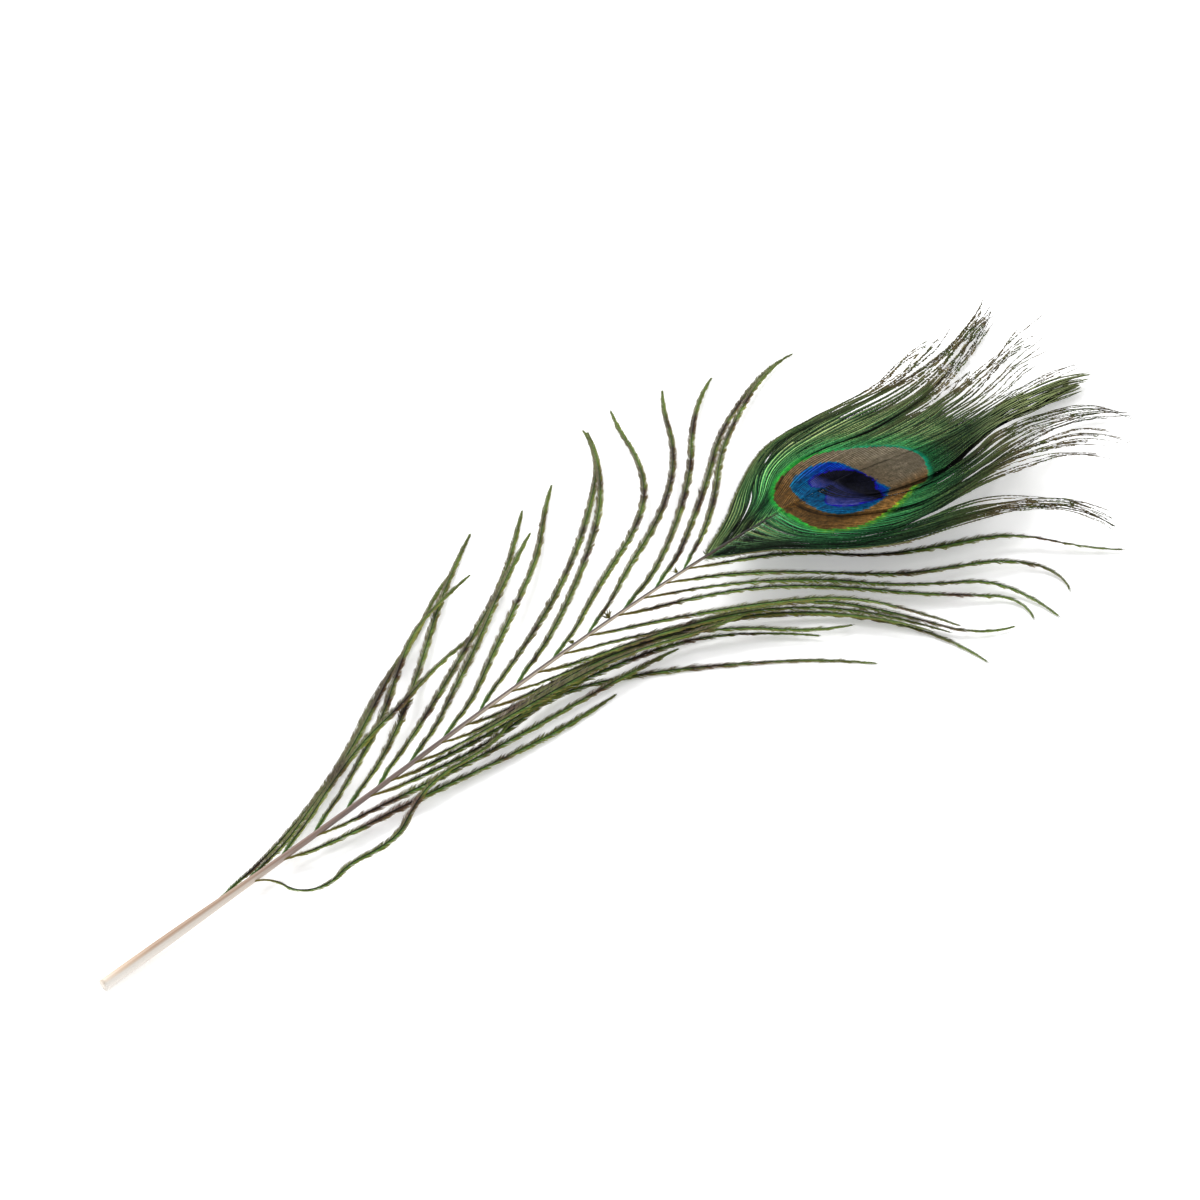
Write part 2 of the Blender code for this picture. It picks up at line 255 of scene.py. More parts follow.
RIGHT_BARBS = (
    (38, 76, 4.6, 0.0, 0.85, (21, 87, 25, -16, 11, 0, -27, -24, -12, 4, 6, -10, -24)),
    (46, 87, 0.3, 0.0, 1.1, (14, 5, 9, 5, -3)),
    (55, 97, 2.2, 0.0, 1.1, (7, 8, 5, 3, 9)),
    (70, 125, 0.3, -1.4, 1.1, (9, 6, -9, 25, 36, 41, 56)),
    (76, 110, 1.0, 0.0, 1.1, (8, 5, 0, 8, 16, 39, 52)),
    (83, 86, 6.0, 1.5, 1.1, (14, 6, 6, 20, 11)),
    (91, 103, 1.5, 2.0, 1.1, (18, 2, 4, 14, 31, 45, 22)),
    (98, 61, 3.5, -0.8, 1.1, (9, 4, 12, 31)),
    (105, 125, 0.3, -1.0, 1.1, (12, 2, 13, 27, 46, 67, 97)),
    (112, 101, 3.0, -0.3, 1.1, (14, 10, 16, 22, 40, 54, 73)),
    (120, 98, 1.4, 1.2, 1.1, (21, 15, 18, 25, 41, 57, 67)),
    (128, 107, 0.6, 0.0, 1.1, (16, 24, 17, 31, 59, 67, 15)),
    (136, 86, 3.4, 1.0, 1.1, (22, 28, 29, 34, 62, 71)),
    (145, 100, 0.3, 0.0, 1.1, (18, 20, 25, 35, 44, 49, 42, 42, 136)),
    (153, 99, 0.3, 0.0, 1.1, (18, 27, 32, 39, 48, 38, 31, 78, 100)),
    (160, 99, 0.3, 0.0, 1.1, (19, 31, 38, 43, 40, 24, 26, 57, 135)),
    (167, 105, 0.6, 0.0, 1.1, (21, 27, 47, 25, 21, 60, 41)),
)
# Keys of how far along its barb a ramus or a barbule is, and the ramus's radius or the barbule's length.
RAMUS_RADIUS = ((0, 0.22), (0.1, 0.17), (0.6, 0.12), (1, 0.05))
BARBULE_LENGTH = ((0, 0.7), (0.03, 1.1), (0.1, 1.45), (0.25, 1.85), (0.55, 2.0), (0.8, 1.6), (0.93, 1.15),
                  (1, 0.5))
RAMUS_SIDES = 6
BARE_ROOT = 0.9
BARE_TIP = 0.5
BARBULE_SPACING = 0.12
BARBULE_WIDTHS = (0.2, 0.19, 0.1)
BARBULE_LEAN = 36
SHINGLE = 0.02
TUFT = 0.9
BARB_ROLL = 12
rng = np.random.default_rng(7)


def barb_plan(side, station, length, headings, t):
    """Where a barb runs, seen from above, at fractions t of its length: its heading goes evenly from each
    stated value to the next, and its place is the sum of its steps in those directions. It starts at the
    shaft's skin and eases out to its line over its first few millimetres."""
    steps = np.linspace(0, 1, PATH_STEPS + 1)
    heading = side * np.radians(np.interp(steps, np.linspace(0, 1, len(headings)), headings))
    middle = (heading[1:] + heading[:-1]) / 2
    x = np.concatenate(([0], np.cumsum(np.cos(middle)))) * length / PATH_STEPS
    y = np.concatenate(([0], np.cumsum(np.sin(middle)))) * length / PATH_STEPS
    out = (ROOT_GAP + BARB_ROOT_RADIUS) * np.clip(t * length / ROOT_EASE, 0, 1)
    root = along(SHAFT_RADIUS, station) * 0.7 + out
    return (
        station + np.interp(t, steps, x),
        along(SHAFT_BOW, station) + side * root + np.interp(t, steps, y),
    )


def wander(s, scale):
    """A slow random wave along s with a chosen scale in the units of s: the sum of three sines whose
    lengths lie round that scale and whose phases are drawn, between about minus one and one."""
    lengths = scale * rng.uniform(0.7, 1.6, 3)
    phases = rng.uniform(0, 2 * np.pi, 3)
    return np.sin(s[:, None] * 2 * np.pi / lengths + phases).sum(axis=1) / 2.2


def travelled(path):
    """How far down a path each of its points lies: the sum of the straight steps that lead to it."""
    return np.concatenate(([0], np.cumsum(np.linalg.norm(np.diff(path, axis=0), axis=1))))


def barbules(path, s, side, length, lean, tilt, widths, strip, values):
    """A row of flat barbules on one side of a barb. Each is a blade of as many joints as there are widths:
    it leaves the path at distance s at its lean to the direction of travel, and each joint leans a quarter
    less. Tilt lifts the row about the barb. Widths are measured along the barb, the edge nearer the barb's
    tip is the higher one, so that the blades overlap as shingles do, and v runs from the barb out to the
    tips."""
    distance = travelled(path)
    ways = (path, *turned(path))
    place, ahead, left, up = [
        np.stack([np.interp(s, distance, way[:, i]) for i in range(3)], axis=1) for way in ways]
    out = left * (side * np.cos(tilt))[:, None] + up * np.sin(tilt)[:, None]
    joints = len(widths)
    rows = []
    for j, width in enumerate(widths):
        reach = ahead * width / 2 + up * SHINGLE
        rows.append(np.stack((place - reach, place + reach), axis=1))
        bend = lean * (1 - 0.25 * j)
        step = (length / (joints - 1))[:, None]
        place = place + (ahead * np.cos(bend)[:, None] + out * np.sin(bend)[:, None]) * step
    points = np.stack(rows, axis=1)
    first = np.arange(len(s))[:, None] * joints * 2 + np.arange(joints - 1) * 2
    corners = (0, 1, 3, 2) if side == RIGHT else (1, 0, 2, 3)
    faces = np.stack([first + c for c in corners], axis=-1).reshape(-1, 4)
    share = np.arange(joints) / (joints - 1)
    u = (s / distance[-1])[:, None, None] + np.array((-1, 1)) * 0.0004
    v = strip[0] + (strip[1] - strip[0]) * share
    point_uv = np.stack(np.broadcast_arrays(u, v[None, :, None]), axis=-1).reshape(-1, 2)
    given = np.repeat(values, joints * 2, axis=0)
    given[:, 0] = np.tile(np.repeat(share, 2), len(s)) * side
    return points.reshape(-1, 3), faces, point_uv[faces], given


def plume(side, station, length, tip_height, lift, fullness, headings):
    """The patches of a loose barb. Its ramus falls from the shaft's height to its tip's by a power of the
    way along, with half a sine of lift between. The length of a barbule is read from its keys and swells by
    slow waves and by tufts, and its lean, tilt and tone waver as well."""
    t = np.linspace(0, 1, PATH_STEPS + 1)
    x, y = barb_plan(side, station, length, headings, t)
    start = along(SHAFT_HEIGHT, station)
    z = start + (tip_height - start) * t**DROOP_POWER + lift * np.sin(np.pi * t)
    path = np.stack((x, y, z), axis=1)
    ramus_values = np.stack((0 * t, t, 0.5 + 0 * t), axis=1)[::2]
    patches = [tube(path[::2], along(RAMUS_RADIUS, t[::2]), RAMUS_SIDES, (0, 0.3), ramus_values)]
    roll = np.radians(BARB_ROLL * wander(t * length, 45))
    for row, strip in ((LEFT, (0.34, 0.64)), (RIGHT, (0.68, 0.98))):
        s = np.arange(BARE_ROOT, length - BARE_TIP, BARBULE_SPACING)
        s = s + rng.uniform(-0.05, 0.05, len(s))
        tuft = wander(s, TUFT)
        size = 0.95 + 0.04 * tuft + 0.12 * wander(s, 5) + rng.uniform(-0.09, 0.09, len(s))
        size = size * along(BARBULE_LENGTH, s / length) * fullness
        lean = np.radians(BARBULE_LEAN + 1.5 * tuft + 4 * wander(s, 4) + rng.uniform(-4, 4, len(s)))
        tilt = np.radians(7 * wander(s, 3) + rng.uniform(-6, 6, len(s)))
        tilt = tilt + row * np.interp(s, t * length, roll)
        tone = np.clip(0.5 + 0.25 * tuft + rng.uniform(-0.3, 0.3, len(s)), 0, 1)
        values = np.stack((0 * s, s / length, tone), axis=1)
        patches.append(barbules(path, s, row, size, lean, tilt, BARBULE_WIDTHS, strip, values))
    return patches


def laid(material, under, over, place, start, full, most=1.0):
    """One colour laid over another by a number on the surface: none of it where the number is at start, its
    most where the number is at full, and evenly more between the two."""
    span = {"From Min": start, "From Max": full, "To Max": most}
    share = add(material, "ShaderNodeMapRange", span, Value=place)
    return add(material, "ShaderNodeMix", {"data_type": "RGBA"}, out=2, in_0=share, in_6=under, in_7=over)


def plume_material(name, lit, dull, root):
    """Barbule keratin of the loose barbs: across each barb one ramp of colours for a painted sheen, as where
    it catches the light, and one where it is dull, laid over each other in slow patches of about a
    centimetre.
    The root has a tint of its own and the tip is green, and each barbule is a little lighter or darker than
    the next."""
    material, shader = blank(name, 0.5, Specular_IOR_Level=0.12)
    cross = add(material, "ShaderNodeAttribute", {"attribute_name": "cross"}, out="Fac")
    reach = add(material, "ShaderNodeAttribute", {"attribute_name": "reach"}, out="Fac")
    tone = add(material, "ShaderNodeAttribute", {"attribute_name": "tone"}, out="Fac")
    place = add(material, "ShaderNodeTexCoord", out="Object")
    half = add(material, "ShaderNodeMath", {"operation": "MULTIPLY_ADD", 1: 0.5, 2: 0.5}, in_0=cross)
    patches = add(material, "ShaderNodeTexNoise", {"Scale": 90, "Detail": 3}, Vector=place)
    # Painted sheen: the lit stops are laid over the dull ones in slow patches, not by where the lamp falls.
    colour = laid(material, add(material, "ShaderNodeValToRGB", stops=dull, in_0=half),
                  add(material, "ShaderNodeValToRGB", stops=lit, in_0=half), patches, 0.38, 0.54)
    colour = laid(material, colour, root, reach, 0.08, 0.0, most=0.5)
    colour = laid(material, colour, "#5a6c30", reach, 0.82, 0.97, most=0.5)
    shade = add(material, "ShaderNodeMapRange", {"To Min": 0.45, "To Max": 1.85}, Value=tone)
    toned = add(material, "ShaderNodeVectorMath", {"operation": "SCALE"}, in_0=colour, Scale=shade)
    material.node_tree.links.new(shader.inputs["Base Color"], toned)
    return material


# Barbule keratin holds thin layers that give green where light falls along them, over brown pigment. Here
# that green is a painted sheen in the lit stops. The stops go across a barb, from its right row's tips over
# the dark ramus to its left row's tips.
left_plume = plume_material(
    "left_barbule_keratin",
    lit=((0.0, "#8c8a3e"), (0.2, "#6c7038"), (0.38, "#566a32"), (0.45, "#789c40"), (0.5, "#1c1c10"),
         (0.56, "#586836"), (0.75, "#545034"), (1.0, "#665c44")),
    dull=((0.0, "#6e5c38"), (0.25, "#4a3826"), (0.45, "#241a12"), (0.5, "#100c08"), (0.58, "#403828"),
          (0.8, "#463e2e"), (1.0, "#5a503e")),
    root="#4f8430")
right_plume = plume_material(
    "right_barbule_keratin",
    lit=((0.0, "#7c7c3a"), (0.2, "#5e6630"), (0.4, "#4c7032"), (0.5, "#1c1a12"), (0.57, "#5a6630"),
         (0.8, "#565234"), (1.0, "#665e48")),
    dull=((0.0, "#6e5a3a"), (0.25, "#4c3a2a"), (0.45, "#221c12"), (0.5, "#0e0c08"), (0.58, "#544036"),
          (0.8, "#5e4c42"), (1.0, "#766660")),
    root="#8a7c3c")

for side, word, barbs, material in (
        (LEFT, "left", LEFT_BARBS, left_plume),
        (RIGHT, "right", RIGHT_BARBS, right_plume)):
    for number, barb in enumerate(barbs, 1):
        put(f"plume_{word}_{number:02d}", plume(side, *barb), ("cross", "reach", "tone"), material,
            "loose_barbs", f"barb_{word}_{number:02d}")

# ----------------------------------------------------------------------------------------------------------
# The vane of the eye: close barbs whose barbules lie flat and touch, so that they make one shining sheet,
# parted into locks. Past the eye the barbules come apart and the barbs run on as a loose fringe.
# ----------------------------------------------------------------------------------------------------------
DOME_MIDDLE = (215, -6)
FRINGE_HEIGHT = 2.0
EYE_RISE = 10.2
EYE_TILT = 0.14
DOME_RADIUS = 58
DOME_CROSS_SCALE = 1.25
# The vane is ruled by lines numbered from its left edge to its right: each line's side of the shaft,
# station, length and headings. A barb between two lines lies evenly between them.
VANE_LINES = (
    (LEFT, 173, 121, (17, 31, 25, -1, -3, 19, -16)),
    (LEFT, 177, 122, (10, 35, 19, -9, 3, 16, 17)),
    (LEFT, 178, 140, (10, 37, 1, -1, 6, 16, 23)),
    (LEFT, 184, 131, (12, 32, -9, 0, 14, 16, 12)),
    (LEFT, 186, 127, (12, 26, -17, 7, 14, 18, 21)),
    (LEFT, 191, 95, (12, 22, -9, -7, 8, 11, 17)),
    (LEFT, 193, 126, (20, 2, -9, 13, 10, 13, -1)),
    (LEFT, 196, 119, (20, -2, -10, 12, 12, 12, -25)),
    (LEFT, 199, 111, (13, -5, -10, 9, 11, 13, -3)),
    (LEFT, 203, 103, (6, -10, -8, 7, 12, 11, -17)),
    (LEFT, 205, 100, (0, -14, -7, 6, 10, -2, -19)),
    (LEFT, 208, 98, (-11, -16, -7, 8, 11, -1, -18)),
    (RIGHT, 213, 94, (0, 20, 2, -8, -10, 5, 42)),
    (RIGHT, 213, 92, (112, 15, 6, -16, -8, -4, 5)),
    (RIGHT, 205, 106, (71, 33, 1, -12, -7, 15, 102)),
    (RIGHT, 201, 111, (90, 41, 1, -7, -10, 8, 50)),
    (RIGHT, 199, 108, (96, 42, 5, -4, -4, 7, 101)),
    (RIGHT, 196, 101, (105, 58, 11, -6, 1, 6, 44)),
    (RIGHT, 191, 91, (100, 63, 23, 15, 20, 28, 85)),
    (RIGHT, 172, 103, (17, 60, 45, 17, 14, 28, 100)),
)
# Each lock: its name, how far its tips are lifted, how far along it parts from its neighbours, how far
# along it starts to dry, the length of its fringe's barbules, and its groups of barbs. A group has its
# count of barbs, how deep it lies under the sheet, and the first and last line that it lies on at its root,
# middle and end.
EYE_LOCKS = (
    ("lock_left_1", 0.0, 0.14, 0.5, 0.4, (
        (4, 0, 0.0, 0.7, 0.0, 0.4, 0.0, 0.3),
        (5, 0, 0.95, 1.87, 0.5, 0.86, 0.7, 1.1))),
    ("lock_left_2", 0.0, 0.14, 0.47, 0.42, (
        (4, 0, 2.12, 2.36, 1.02, 1.6, 2.1, 2.3),
        (4, 0, 2.44, 2.8, 1.72, 2.5, 2.4, 2.5),
        (4, 0, 2.9, 3.2, 2.7, 3.2, 2.6, 2.8),
        (4, 0, 3.35, 3.8, 3.35, 3.88, 2.95, 3.3),
        (2, 0.35, 3.85, 3.95, 3.86, 3.98, 3.5, 3.6))),
    ("lock_left_3", -1.4, 0.12, 0.46, 0.38, (
        (3, 0, 4.0, 4.3, 3.96, 4.36, 4.0, 4.2),
        (3, 0, 4.5, 4.95, 4.54, 4.95, 4.7, 5.0),
        (3, 0, 5.15, 5.7, 5.2, 5.75, 5.2, 5.5))),
    ("lock_left_4", 0.0, 0.12, 0.46, 0.35, (
        (3, 0, 6.0, 6.5, 6.0, 6.6, 6.0, 6.3),
        (4, 0, 6.8, 7.7, 6.85, 7.75, 6.9, 7.3))),
    ("lock_left_5", 0.0, 0.12, 0.47, 0.28, (
        (4, 0, 8.0, 8.75, 8.0, 8.75, 8.0, 8.45),
        (3, 0, 9.0, 9.7, 9.0, 9.65, 8.95, 9.3))),
    ("lock_left_6", 0.0, 0.12, 0.5, 0.3, (
        (4, 0, 10.0, 10.75, 10.0, 10.75, 10.1, 10.5),
        (2, 0, 11.0, 11.5, 11.0, 11.4, 10.9, 11.2))),
    ("lock_tip", 0.0, 0.24, 0.84, 0.4, (
        (14, 0, 12.0, 12.5, 11.9, 12.3, 12.0, 12.45),
        (16, 0, 12.53, 13.22, 12.33, 12.72, 12.45, 12.85),
        (7, 0.7, 12.95, 13.48, 12.6, 12.78, 12.7, 12.85))),
    ("lock_right_3", 0.0, 0.24, 0.4, 0.26, (
        (3, 0.7, 13.52, 13.8, 13.05, 13.2, 13.8, 13.9),
        (8, 0, 13.76, 14.2, 13.05, 13.7, 13.8, 14.1),
        (4, 0, 14.3, 14.6, 14.0, 14.25, 14.35, 14.6),
        (6, 0, 14.72, 15.34, 14.5, 14.9, 14.8, 15.0),
        (4, 0.6, 15.1, 15.52, 15.0, 15.6, 15.0, 15.1))),
    ("lock_right_2", 0.0, 0.16, 0.44, 0.36, (
        (6, 0, 15.64, 16.3, 15.64, 16.3, 16.0, 16.25),
        (6, 0, 16.42, 17.1, 16.42, 16.9, 16.5, 16.8),
        (4, 0, 17.25, 17.84, 17.02, 17.3, 17.1, 17.15))),
    ("lock_right_1", 0.0, 0.12, 0.48, 0.32, (
        (7, 0, 17.92, 18.3, 17.78, 18.4, 18.0, 18.25),
        (10, 0, 18.35, 18.86, 18.47, 18.87, 18.4, 18.75),
        (2, 0, 18.94, 19.0, 18.94, 19.0, 18.9, 19.0))),
)
# The lines on whose two sides the sheet steps down into a dark cleft, by this much, and the pairs of roots
# between which a slit stays open.
CLEFTS = (13.49, 15.5)
CLEFT_STEP = 0.28
OPEN_SLITS = ((1.87, 2.12), (2.36, 2.44), (13.22, 13.76), (15.34, 15.64))
# Past this line the barbs grow on the shaft's right, and their first barbules on that side are turned back.
SHAFT_END_LINE = 13.5
TURNED_BACK = 70
# Each area of the eye is a middle and an outline of (angle from ahead towards the left, radius).
DISC = ((213, -6.5), ((7, 20.8), (21, 19.1), (36, 18.1), (54, 18.4), (76, 17.8), (104, 17.2), (132, 17.4),
                      (152, 17.7), (174, 16.5), (200, 17.8), (217, 17.1), (233, 15.7), (258, 13.6),
                      (290, 13.2), (307, 14.3), (319, 17.6), (333, 19.2), (352, 21.2)))
BLUE = ((211, -5), ((7, 8.9), (28, 10.2), (49, 12.9), (77, 12.9), (95, 12.2), (119, 11.5), (137, 10.4),
                    (155, 9.4), (174, 8.8), (196, 9.3), (229, 10.6), (262, 11.1), (291, 11.3), (304, 11.4),
                    (323, 9.3), (344, 8.5)))
KIDNEY = ((213, -5), ((2, 6.2), (28, 6.5), (52, 6.8), (77, 7.4), (99, 8.1), (119, 8.1), (135, 6.6),
                      (142, 4.1), (157, 3.6), (172, 5.6), (185, 7.5), (201, 7.9), (222, 8.2), (253, 8.8),
                      (278, 9.9), (295, 7.2), (311, 6.9), (335, 6.4)))
# The eye's own order fades out over this distance round the disc. Outside it a barb may be sunk this deep in
# the sheet, no barb comes lower than this over the table, and the colours' grain is centred at this height.
EYE_FADE = 4
DEEPEST = 0.28
LOWEST = 0.4
EYE_LEVEL = 10
FRINGE_START = 0.45
LOCK_EASE = 0.22
EYE_RAMUS_RADIUS = (0.09, 0.07, 0.05)
EYE_RAMUS_SIDES = 4
WEB_SPACING = 0.19
WEB_WIDTHS = (0.23, 0.22)
EDGE_WIDTHS = (0.23, 0.18, 0.05)
WEB_LEAN = 46
WEB_TILT = -16
WEB_LEAST, WEB_MOST = 0.38, 1.8
EDGE_EXTRA = 0.8
# Keys of how far along its barb a fringe barbule is, and how many of its lock's lengths it measures there.
FRINGE_REACH = ((0, 3), (0.45, 2.2), (0.58, 1.3), (0.75, 1), (0.9, 0.9), (1, 0.4))


def dome_height(x, y):
    """Height of the vane over the table at a place: it falls from the eye's centre as the exponential of
    minus the cube of the distance, and leans so that its right side is higher."""
    across = y - DOME_MIDDLE[1]
    distance = np.hypot(x - DOME_MIDDLE[0], DOME_CROSS_SCALE * across)
    return FRINGE_HEIGHT + (EYE_RISE - EYE_TILT * across) * np.exp(-((distance / DOME_RADIUS) ** 3))


def outside(x, y, middle, outline):
    """How far a place lies outside a closed outline: its distance from the middle less the outline's radius
    in its direction, which is read from keys of (angle, radius) that go once round."""
    keys = [(a - 360, r) for a, r in outline[-3:]] + list(outline) + [(a + 360, r) for a, r in outline[:3]]
    angle = np.degrees(np.arctan2(y - middle[1], x - middle[0])) % 360
    return np.hypot(x - middle[0], y - middle[1]) - along(keys, angle)


def vane_run(across, t):
    """The run of a barb whose place across the vane, at fractions t of its length, is counted in lines:
    between two lines it lies evenly between them. It rises from the shaft to the dome by a smooth step.
    Also gives how many millimetres one line's step measures square to it."""
    lines = np.array([barb_plan(*line, t) for line in VANE_LINES])
    j = np.clip(np.floor(across).astype(int), 0, len(VANE_LINES) - 2)
    near, far = lines[j, :, np.arange(len(t))], lines[j + 1, :, np.arange(len(t))]
    plan = near + (far - near) * (across - j)[:, None]
    ahead = np.gradient(plan, axis=0)
    ahead = ahead / np.linalg.norm(ahead, axis=1, keepdims=True)
    pitch = np.abs((far - near)[:, 0] * ahead[:, 1] - (far - near)[:, 1] * ahead[:, 0])
    root = np.interp(across[0], np.arange(len(VANE_LINES)), [line[1] for line in VANE_LINES])
    ease = np.clip(6 * t, 0, 1)
    ease = ease * ease * (3 - 2 * ease)
    z = along(SHAFT_HEIGHT, root) * (1 - ease) + dome_height(plan[:, 0], plan[:, 1]) * ease
    return np.column_stack((plan, z)), pitch


def eye_barb(root, middle, end, parted, lift, depth, tuft):
    """One barb of the eye. It keeps its root's line until its lock parts, then eases to its middle line,
    and past the eye to its end's. It lies on the dome, sunk a little or deep under the sheet and stepped
    down beside a cleft, wavers where it is loose, and strays at its tip, the less so in the tuft."""
    t = np.linspace(0, 1, PATH_STEPS + 1)
    pace = t * rng.uniform(0.96 if tuft else 0.9, 1.0)
    keys = ((0, root), (parted, root), (parted + LOCK_EASE, middle), (0.6, middle), (0.87, end), (1, end))
    path, pitch = vane_run(np.clip(along(keys, pace), 0, len(VANE_LINES) - 1), pace)
    plan = path[:, :2].copy()
    edges = [outside(*plan.T, *area) for area in (DISC, BLUE, KIDNEY)]
    loosened = 1 - np.clip(1 - edges[0] / EYE_FADE, 0, 1)
    distance = travelled(path)
    s = t * distance[-1]
    loose = np.clip((pace - FRINGE_START) / 0.4, 0, 1)
    path[:, 1] += 0.6 * loose * wander(s, 40) + 0.06 * wander(s, 12) * loosened
    sunk = rng.uniform(0, DEEPEST)
    path[:, 2] += lift * pace - sunk * loosened * np.clip(8 * pace, 0, 1)
    gap = min((middle - cleft for cleft in CLEFTS), key=abs)
    off_shaft = np.clip(6 * pace - 0.3, 0, 1)
    path[:, 2] -= np.sign(gap) * CLEFT_STEP * np.exp(-abs(gap) / 0.3) * off_shaft
    path[:, 2] -= depth * off_shaft
    path[:, 2] += 0.08 * wander(s, 25) * loosened + 0.5 * loose * wander(s, 50)
    strayed = np.clip((pace - 0.82) / 0.18, 0, 1) ** 2 * (0.4 if tuft else 1)
    path[:, 1] += rng.uniform(-1.3, 1.3) * strayed
    path[:, 2] = np.maximum(path[:, 2] + rng.uniform(0, 0.8) * strayed, LOWEST)
    return SimpleNamespace(root=root, deep=depth > 0, tuft=tuft, pace=pace, path=path, plan=plan, pitch=pitch,
                           edges=edges, loosened=loosened, distance=distance, loose=loose, sunk=sunk)


def web(barb, row, fringe_length, strip):
    """A row of barbules on one side of an eye barb. In the eye each reaches over the step to the next barb,
    so that the rows make a sheet. Past it each is at most its fringe length times its keys, and where the
    barb is dry, clumps of them are gone. Beside an open slit they stay narrow, and on the vane's own edge
    they make a ragged comb. Those in the eye are evener in length and tone than the others."""
    s = np.arange(0.1, barb.distance[-1] - 0.3, WEB_SPACING)
    s = s + rng.uniform(-0.02, 0.02, len(s))
    part = np.interp(s, barb.distance, barb.pace)
    drier = np.interp(s, barb.distance, barb.dryness)
    clumps = 0.5 * wander(s, 5) + 0.35 * wander(s, 1.3) + 0.5
    keep = clumps > -1.5 + 2 * drier
    s, part, drier = s[keep], part[keep], drier[keep]
    loosened = np.interp(s, barb.distance, barb.loosened)
    free = (barb.root, row) in ((0, LEFT), (len(VANE_LINES) - 1, RIGHT))
    slit = any((barb.root, row) in ((near, RIGHT), (far, LEFT)) for near, far in OPEN_SLITS)
    reach = np.interp(s, barb.distance, barb.step) * (1.3 + 0.8 * np.exp(-s / 2)) + EDGE_EXTRA * free
    reach = np.clip(reach, WEB_LEAST, WEB_MOST) * (np.interp(part, (0.42, 0.5), (0.45, 1)) if slit else 1)
    reach = np.where(part > FRINGE_START, np.minimum(reach, fringe_length * along(FRINGE_REACH, part)), reach)
    ragged = wander(s, 0.9) * loosened * (0.25 if free else 0.12)
    size = reach * (1 + ragged + rng.uniform(-0.1, 0.1, len(s)) * (2 if free else 1))
    lean = np.radians(WEB_LEAN + 4 * wander(s, 3) + 12 * ragged)
    if barb.root > SHAFT_END_LINE and row == RIGHT:
        lean = lean + np.radians(TURNED_BACK) * np.exp(-s / 0.7)
    tilt = WEB_TILT + 5 * wander(s, 15) + rng.uniform(-4, 4, len(s))
    tilt = np.radians(tilt) * (1 - 0.9 * np.exp(-s / 5))
    # Painted shade: barbs deep under the clefts are made near black in the sheet and dark in the fringe. The
    # tuft's barbules are also made darker towards their ends.
    painted_shade_and_dark_tuft = barb.deep * np.interp(part, (0.45, 0.6), (0.9, 0.2))
    painted_shade_and_dark_tuft = painted_shade_and_dark_tuft + barb.tuft * np.interp(part, (0.5, 0.75), (0, 0.48))
    tone = 0.5 + barb.own * (0.35 + 0.65 * loosened) + 0.1 * wander(s, 2) - painted_shade_and_dark_tuft
    tone = np.clip(tone + 0.13 * (0.25 + 0.75 * loosened) * rng.uniform(-1, 1, len(s)), -0.3, 1)
    x, y = [np.interp(s + barb.jitter, barb.distance, barb.plan[:, i]) for i in (0, 1)]
    edges = [outside(x, y, *area) for area in (DISC, BLUE, KIDNEY)]
    values = np.stack((0 * s, np.maximum(drier, 0.7 * free), tone, *edges), axis=1)
    widths = EDGE_WIDTHS if free else WEB_WIDTHS
    return barbules(barb.path, s, row, size, lean, tilt, widths, strip, values)


# Barbule keratin of the eye: stacked layers that shine bronze, blue, violet or green by their spacing, over
# black pigment. It is matt in itself, so the shine is in its colours. Each area's edge is made ragged by
# the grain, about a millimetre across. Stops read at the grain give a speckled colour, and stops read
# across a barb in the sheet give each of its two rows a painted highlight, brighter on the left row that
# faces the lamp, with a dark ramus between and painted shade in the gaps on both sides.
GRAIN_COLOURS = {
    "gold rim": ((0.35, "#25702c"), (0.55, "#5c9c2c"), (0.7, "#a8c02a")),
    "green rim": ((0.3, "#0e7a34"), (0.7, "#3cb83c")),
    "sea rim": ((0.3, "#085a40"), (0.7, "#169a74")),
    "bronze": ((0.3, "#5a4422"), (0.55, "#7e5c30"), (0.75, "#a27238")),
    "pale bronze": ((0.3, "#7e755f"), (0.7, "#a4967f")),
    # Bright bronze is painted light for the disc's right side.
    "bright bronze": ((0.3, "#7c5e30"), (0.55, "#ac7e44"), (0.75, "#d89c50")),
    "sea blue": ((0.3, "#00406e"), (0.7, "#0078b4")),
    "deep blue": ((0.3, "#00289c"), (0.7, "#0050e0")),
    "blue edge": ((0.3, "#006090"), (0.7, "#0090b8")),
    "violet": ((0.3, "#140894"), (0.7, "#2414d8")),
    "violet kidney": ((0.3, "#364cae"), (0.7, "#6a6cc8")),
    "black kidney": ((0.3, "#0b0c1a"), (0.7, "#1a1b30")),
}
